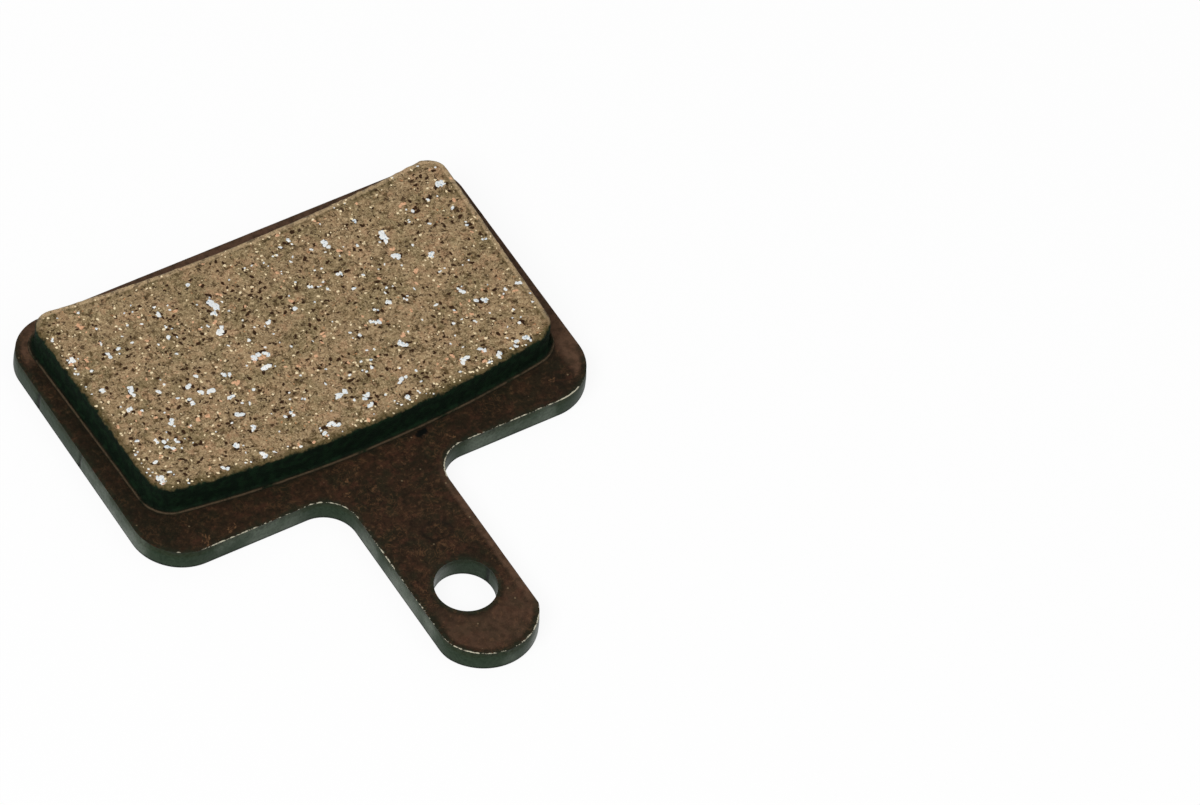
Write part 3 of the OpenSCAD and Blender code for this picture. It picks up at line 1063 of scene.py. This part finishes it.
rings.append(block.ring(last, face_height(*last.T), inset=flat_inset, bare=bare))
for lower, upper in zip(rings, rings[1:]):
    block.band(lower, upper)
face_rim = rim_of(block, rings[-1])
net = net_points(face_rim, face_step, 0.05, 10)
sunk = pit_depth(*net.T)
block.fill([rings[-1]], net, face_height(*net.T) - sunk,
           inset=np.clip(face_rim.depths(net) + flat_inset, 0, 2), pit=sunk / full_pit)
block.fill([rings[0]], np.empty((0, 2)), 0, up=False)
compound_block = block.piece("block_skin", [compound])
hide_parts("friction_block")

# %% [markdown]
# ## Plugs
# Two holes in the plate let the compound through, and the block's plugs fill them. Each end is
# rough, slightly sunk, and deeper along its edge, where the compound shrank from the steel. It
# is a short skin of its own that starts inside the block, so its end can be rough on its own.

# %% Plugs in the keying holes
plug_gap = 0.03
# Each ring of a plug, from inside the block down to its end: how far in and how high.
plug_profile = ((0, plate_t + 0.3), (0, 0.3), (0.02, 0.2), (0.1, 0.16))


def plug_end_finish():
    """Rough compound that showed at the plate's back and took the paint in places."""
    end = Finish("plug_end")
    islands = end.noise(0.9, 91, detail=4, roughness=0.6)
    grain = end.noise(0.16, 97, detail=4, roughness=0.65)
    base = end.blend(end.between(grain, 0.35, 0.65), tint(14, 22, 12), tint(40, 36, 24))
    paint = end.between(islands + end.mark("raised") * 0.5, 0.68, 0.8)
    base = end.blend(paint * 0.85, base, tint(42, 64, 46))
    base = end.blend(end.spots(0.6, 0.07, 101, 0.3), base, tint(150, 130, 100))
    return end.surface(Base_Color=base, Roughness=0.55 + grain * 0.25, Specular_IOR_Level=0.15,
                       Normal=end.bump(grain + islands * 0.6, 0.06))


plug_end = plug_end_finish()
plugs = Skin("raised")
for number, place in enumerate(key_places):
    rim = circle(place, key_hole_r - plug_gap)
    rows = []
    for inset, height in plug_profile:
        uneven = 0.02 * rough(rim.walked, 0, 0.6, 600 + number)
        rows.append(plugs.ring(rim.grown(-inset), height + uneven))
    for lower, upper in zip(rows[::-1], rows[-2::-1]):
        plugs.band(lower, upper)
    net = net_points(rim_of(plugs, rows[-1]), 0.08, 0.04, 11)
    from_middle = np.hypot(*(net - place).T) / key_hole_r
    relief = rough(*net.T, 0.7, 610 + number, octaves=4) + 0.5 - 0.9 * from_middle ** 4
    plugs.fill([rows[-1]], net, np.clip(0.1 - 0.05 * relief, 0.01, 0.2), up=False,
               raised=np.clip(relief, 0, 1))
    plugs.fill([rows[0]], np.empty((0, 2)), 0)
plug_pair = plugs.piece("plug_ends", [plug_end])
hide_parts("friction_block")

# %% [markdown]
# ## Flecks in the face
# Chips of metal and mineral lie in the face. The bright ones are nearly white, partly their own
# pale colour and partly a painted glint of the metal. Some have a cold bluish tinge that is painted
# reflection and shade, and the others are copper and pale brass. A chip is a small slab with a
# broken outline and a slightly domed top, sunk into the face so that only its top shows. A large
# bright fleck is a bundle of two to four such chips at odd angles, and each fleck has a tone of its
# own. The smaller ones lie in clusters, as they do in a mix that wasn't stirred for long.

# %% Fleck finishes
def fleck_finish(name, pale, dark, roughness):
    """A scratched chip, between two tones, more or less dark by its own tone."""
    chip = Finish(name)
    scratches = chip.noise(0.12, 41, detail=3, roughness=0.7)
    tone = chip.mark("tone")
    base = chip.blend(chip.between(scratches, 0.34, 0.5) * (0.75 + tone * 0.25), dark, pale)
    # On the bright flecks this cold share is a painted bluish reflection and shade.
    cold = chip.between(tone, 0.55, 0.75) * chip.between(scratches, 0.4, 0.6)
    base = chip.blend(cold * 0.35, base, dark)
    return chip.surface(Base_Color=base, Roughness=roughness + scratches * 0.2,
                        Normal=chip.bump(scratches, 0.02))


# The bright flecks: their white is partly a painted glint, their bluish grey a painted reflection.
silver_and_glint = fleck_finish("bright_fleck", tint(255, 253, 246), tint(158, 180, 198), 0.25)
copper = fleck_finish("copper_fleck", tint(230, 182, 142), tint(184, 130, 90), 0.4)
brass = fleck_finish("brass_fleck", tint(250, 232, 194), tint(216, 192, 146), 0.4)

# %% Chips and bundles of chips
chip_rise, chip_root, clear_below_top = 0.014, -0.06, 0.001
# Each ring of a chip: its size, its height and how broken it is.
chip_profile = ((1.0, chip_root, 0), (1.0, 0.0, 0.3), (0.7, chip_rise, 0.5),
                (0.25, chip_rise, 0.7))


def add_chip(skin, x, y, length, width, turn, tone):
    """One chip, with its broken top just above the face around it."""
    count = int(chance.integers(7, 11))
    angles = np.linspace(0, 2 * math.pi, count, endpoint=False) + chance.uniform(-0.2, 0.2, count)
    reach = chance.uniform(0.6, 1.15, count)
    along, across = np.cos(angles) * reach * length / 2, np.sin(angles) * reach * width / 2
    flat = np.stack([along * math.cos(turn) - across * math.sin(turn),
                     along * math.sin(turn) + across * math.cos(turn)], 1)
    level = float(face_height(np.array([x]), np.array([y]))[0])
    rows = []
    for scale, height, broken in chip_profile:
        ragged = height + chip_rise * broken * chance.uniform(-1, 1, count)
        heights = np.minimum(level + ragged, block_top - clear_below_top)
        rows.append(skin.ring(flat * scale + (x, y), heights, tone=tone))
    for lower, upper in zip(rows, rows[1:]):
        skin.band(lower, upper)
    skin.faces += [rows[-1].tolist(), rows[0][::-1].tolist()]
    skin.finishes += [0, 0]


def add_bundle(skin, x, y, size, chips):
    """Chips thrown together at odd angles, as one fleck. None hangs over the block's rim."""
    turn, tone = chance.uniform(0, math.pi), chance.random()
    for chip in range(chips):
        step = (chip - (chips - 1) / 2) * size * 0.36
        chip_x = x + step * math.cos(turn) + chance.normal(0, size * 0.12)
        chip_y = y + step * math.sin(turn) + chance.normal(0, size * 0.12)
        length, width = size * chance.uniform(0.6, 1.1), size * chance.uniform(0.5, 0.85)
        chip_turn = chance.uniform(0, math.pi)
        if inside_block(chip_x, chip_y, 0.55 * length + 0.06):
            add_chip(skin, chip_x, chip_y, length, width, chip_turn, tone)


def add_flecks(skin, places, sizes, fewest=1, most=1):
    """A fleck at each place, of a random size and a random number of chips."""
    for x, y in places:
        size = chance.uniform(*sizes)
        chips = int(chance.integers(fewest, most + 1)) if most > fewest else fewest
        add_bundle(skin, x, y, size, chips)


print("a chip has", len(chip_profile), "rings")

# %% Flecks in the friction face
rim_flecks = 110
bright, warm, pale = Skin("tone"), Skin("tone"), Skin("tone")
add_flecks(bright, large_places, (0.38, 0.58), fewest=2, most=4)
add_flecks(bright, small_places, (0.22, 0.44), most=2)
add_flecks(bright, scattered(160, 0.12, clusters=24, spread=1.5, share=0.5), (0.16, 0.3))
add_flecks(warm, scattered(112, 0.15), (0.16, 0.4), most=2)
add_flecks(pale, scattered(520, 0.08), (0.13, 0.25))
facing = np.flatnonzero(-block_outline.outward @ away_from_view > 0.3)
for number in chance.choice(facing, rim_flecks, replace=False):
    x, y = block_outline.points[number] - block_outline.outward[number] * chance.uniform(0.2, 0.7)
    add_bundle(chance.choice([bright, pale, pale]), x, y, chance.uniform(0.12, 0.26), 1)
for skin, name, finish in ((bright, "bright_flecks", silver_and_glint), (warm, "copper_flecks", copper),
                           (pale, "brass_flecks", brass)):
    chips = skin.piece(name, [finish], smooth=False)

# %% [markdown]
# ## Floor and light
# The pad lies on its back on a plain white floor, as on a sheet of paper. More light would
# make the floor white and bleach the pad too. So the floor is pale by its own colour, and only
# for the camera and for reflections is it lifted nearly to full white, which keeps its shadow.
# The light is broad and soft: a pale sky all round, one large soft lamp from the upper left,
# and a weaker one from the near side.

# %% Floor
floor_size, floor_z, floor_lift = 3.0, -2e-5, 0.9


def white_floor():
    """White paper, brighter where the camera or a reflection sees it."""
    paper = Finish("white_paper")
    direct = paper.node("ShaderNodeLightPath", output="Is Camera Ray")
    mirrored = paper.node("ShaderNodeLightPath", output="Is Glossy Ray")
    clear = paper.node("ShaderNodeLightPath", output="Is Transmission Ray")
    seen = paper.between(direct + mirrored + clear, 0.0, 1.0)
    fibre = paper.noise(6, 9, detail=2)
    shade = paper.node("ShaderNodeBsdfDiffuse", None,
                       {0: paper.blend(fibre, tint(248, 248, 248), tint(251, 251, 251))})
    glow = paper.node("ShaderNodeEmission", None, {0: (1, 1, 1, 1), 1: 1.0})
    mixed = paper.node("ShaderNodeMixShader", None, {0: seen * floor_lift, 1: shade, 2: glow})
    paper.node("ShaderNodeOutputMaterial", None, {0: mixed})
    return paper.material


half = floor_size / 2
floor_mesh = bpy.data.meshes.new("floor")
floor_corners = [(-half, -half), (half, -half), (half, half), (-half, half)]
floor_mesh.from_pydata([(x, y, floor_z) for x, y in floor_corners], [], [(0, 1, 2, 3)])
floor_mesh.materials.append(white_floor())
floor = bpy.data.objects.new("floor", floor_mesh)
bpy.context.collection.objects.link(floor)
print("floor", floor_size, "m wide")

# %% Sky and lamps
sky_strength = 0.45

world = bpy.data.worlds.new("sky")
bpy.context.scene.world = world
world.use_nodes = True
sky = world.node_tree.nodes["Background"]
sky.inputs["Color"].default_value = (1, 1, 1, 1)
sky.inputs["Strength"].default_value = sky_strength


def soft_lamp(name, place, size, watts):
    """A large square lamp that faces the pad."""
    lamp = bpy.data.lights.new(name, "AREA")
    lamp.size, lamp.energy = size, watts
    made = bpy.data.objects.new(name, lamp)
    made.location = place
    made.rotation_euler = (-Vector(place)).to_track_quat("-Z", "Y").to_euler()
    bpy.context.collection.objects.link(made)


soft_lamp("window", (-0.35, -0.15, 0.42), 0.3, 1.9)
soft_lamp("bounce", (0.2, -0.4, 0.4), 0.4, 0.6)
print("lamps:", ", ".join(lamp.name for lamp in bpy.data.lights))

# %% [markdown]
# ## Camera
# The camera stands where the photograph's did: low enough to see the near walls, turned so that
# the tab points down and to the right, and far away with a long lens. The pad keeps its place
# in the left part of the picture.

# %% Camera
aim = Vector((14.534, -9.934, 0.0)) * METRES_PER_MM
distance = 0.525
lens, sensor_width = 268.33, 36.0
azimuth, elevation, roll = math.radians(-127.397), math.radians(51.115), math.radians(8.006)
away = Vector((math.cos(azimuth) * math.cos(elevation), math.sin(azimuth) * math.cos(elevation),
               math.sin(elevation)))
right = (-away).cross(Vector((0, 0, 1))).normalized()
over = right.cross(-away)
right, over = (right * math.cos(roll) + over * math.sin(roll),
               over * math.cos(roll) - right * math.sin(roll))
view = bpy.data.cameras.new("camera")
view.lens, view.sensor_width = lens, sensor_width
camera = bpy.data.objects.new("camera", view)
camera.matrix_world = Matrix.Translation(aim + away * distance) @ Matrix(
    (right, over, away)).transposed().to_4x4()
bpy.context.collection.objects.link(camera)
bpy.context.scene.camera = camera
bpy.context.scene.view_settings.view_transform = "Standard"
print("camera at", [round(value, 4) for value in camera.location])
